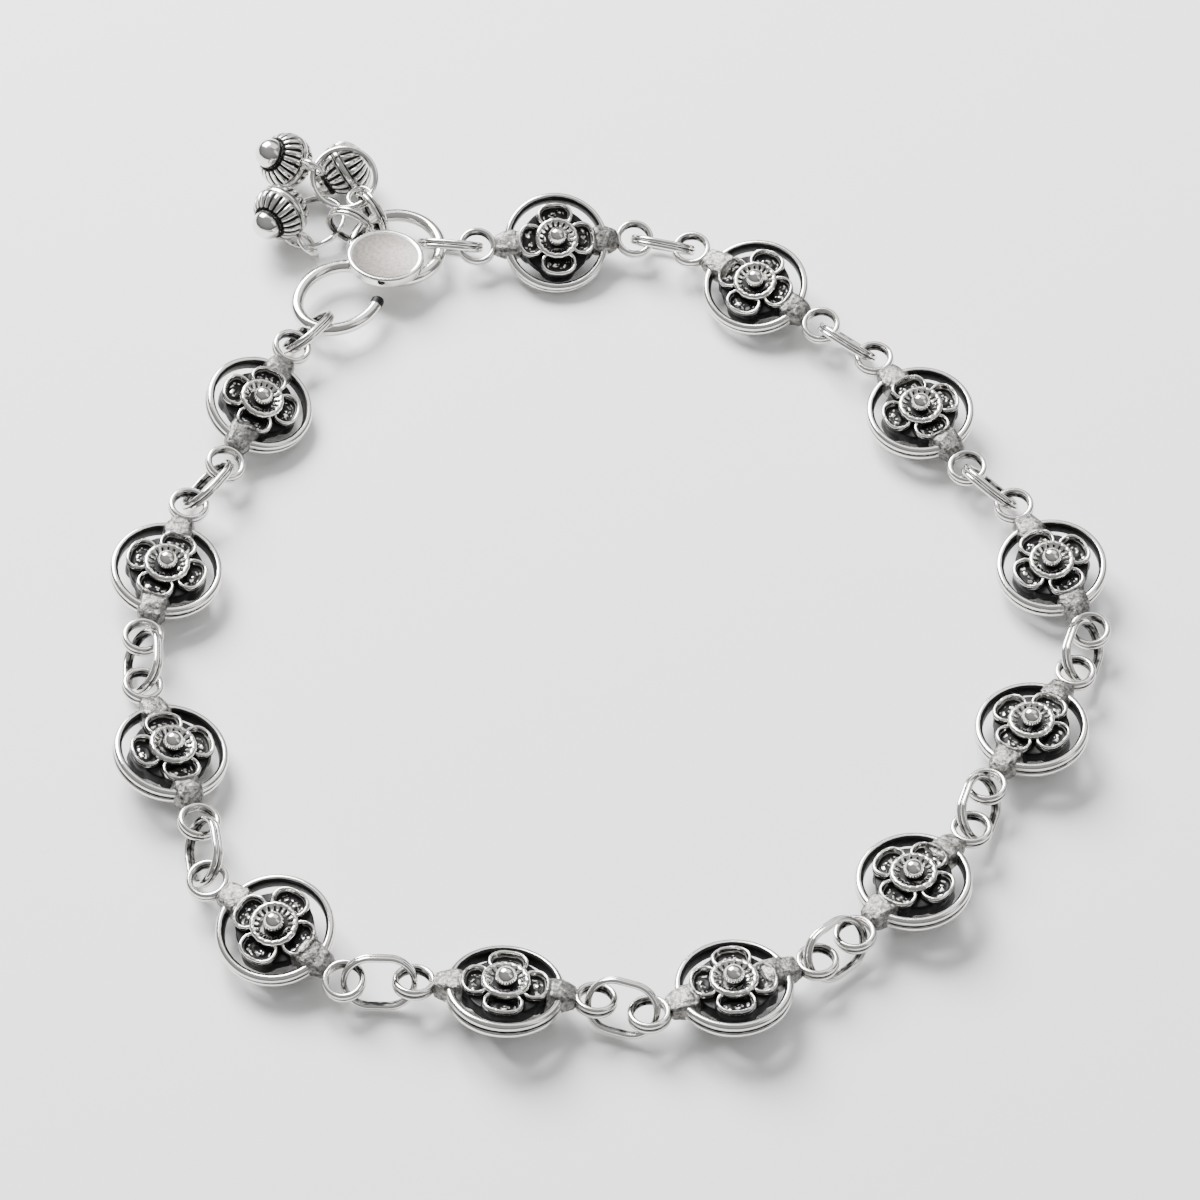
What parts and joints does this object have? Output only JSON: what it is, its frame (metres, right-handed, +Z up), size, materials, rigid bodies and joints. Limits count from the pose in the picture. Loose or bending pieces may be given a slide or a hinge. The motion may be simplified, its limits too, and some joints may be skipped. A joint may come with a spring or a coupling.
{
  "type": "payal anklet",
  "caption": "Oxidised silver payal anklet of pierced flower discs and oval links, closed by an S-hook with a tag and small ribbed bells.",
  "frame": {"origin": "middle of the bounding box at the surface that the anklet lies on", "axes": "+Z up, +X right and +Y away as seen from the front, the clasp at -X +Y"},
  "size_m": [0.0892, 0.098, 0.0064],
  "materials": {
    "disc_silver": "oxidised silver, bright rims over blackened recesses",
    "link_silver": "polished silver",
    "hook_silver": "polished silver wire, satin tag",
    "bell_silver": "polished ribs over blackened grooves"
  },
  "bodies": {
    "root": {"disc_link_01": "disc_silver", "disc_link_02": "disc_silver", "disc_link_03": "disc_silver", "disc_link_04": "disc_silver", "disc_link_05": "disc_silver", "disc_link_06": "disc_silver", "disc_link_07": "disc_silver", "disc_link_08": "disc_silver", "disc_link_09": "disc_silver", "disc_link_10": "disc_silver", "disc_link_11": "disc_silver", "disc_link_12": "disc_silver", "oval_link_01": "link_silver", "oval_link_02": "link_silver", "oval_link_03": "link_silver", "oval_link_04": "link_silver", "oval_link_05": "link_silver", "oval_link_06": "link_silver", "oval_link_07": "link_silver", "oval_link_08": "link_silver", "oval_link_09": "link_silver", "oval_link_10": "link_silver", "oval_link_11": "link_silver", "oval_link_12": "link_silver", "oval_link_13": "link_silver", "s_hook_clasp": "hook_silver", "charm_ring_1": "link_silver", "charm_ring_2": "link_silver", "bell_hoop_1": "link_silver", "bell_hoop_2": "link_silver", "bell_1": "bell_silver", "bell_2": "bell_silver", "bell_3": "bell_silver"}
  },
  "joints": []
}
